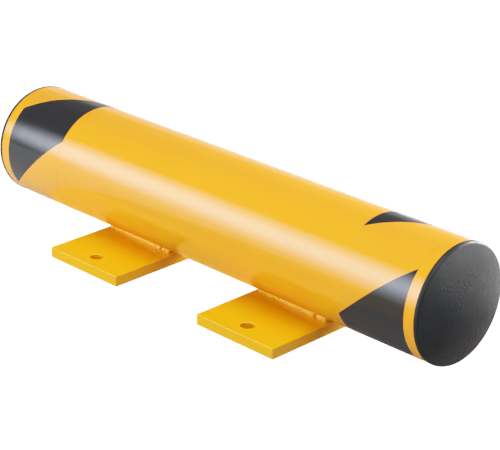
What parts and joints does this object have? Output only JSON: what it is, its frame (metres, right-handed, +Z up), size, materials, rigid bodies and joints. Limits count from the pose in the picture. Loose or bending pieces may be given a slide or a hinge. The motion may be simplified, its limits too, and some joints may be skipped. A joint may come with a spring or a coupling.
{
  "type": "safety bollard",
  "caption": "Low horizontal guard bar: round coated steel tube welded to bolt-down floor plates, with hazard film bands and domed push-in end caps.",
  "frame": {"origin": "on the floor, under the middle of the tube, midway between the plates", "axes": "+X along the tube to its right end, -Y to the front, +Z up from the floor"},
  "size_m": [0.838, 0.27, 0.1745],
  "materials": {
    "powder_coat": "glossy powder coat, fine orange peel",
    "weld": "glossy powder coat over rippled weld metal",
    "film": "printed self-adhesive film, black and yellow",
    "cap_plastic": "fine-grained moulded polyethylene"
  },
  "bodies": {
    "guard": {"tube": "powder_coat", "left_floor_plate": "powder_coat", "left_hazard_film": "film", "left_front_weld": "weld", "left_front_tack": "weld", "left_rear_weld": "weld", "left_rear_tack": "weld", "right_floor_plate": "powder_coat", "right_hazard_film": "film", "right_front_weld": "weld", "right_front_tack": "weld", "right_rear_weld": "weld", "right_rear_tack": "weld"},
    "left_cap": {"left_end_cap": "cap_plastic"},
    "right_cap": {"right_end_cap": "cap_plastic"}
  },
  "joints": [
    {"name": "left_cap_pull", "type": "slide", "parent": "guard", "child": "left_cap", "axis": [-1, 0, 0], "range_m": [0, 0.06]},
    {"name": "right_cap_pull", "type": "slide", "parent": "guard", "child": "right_cap", "axis": [1, 0, 0], "range_m": [0, 0.06]}
  ]
}
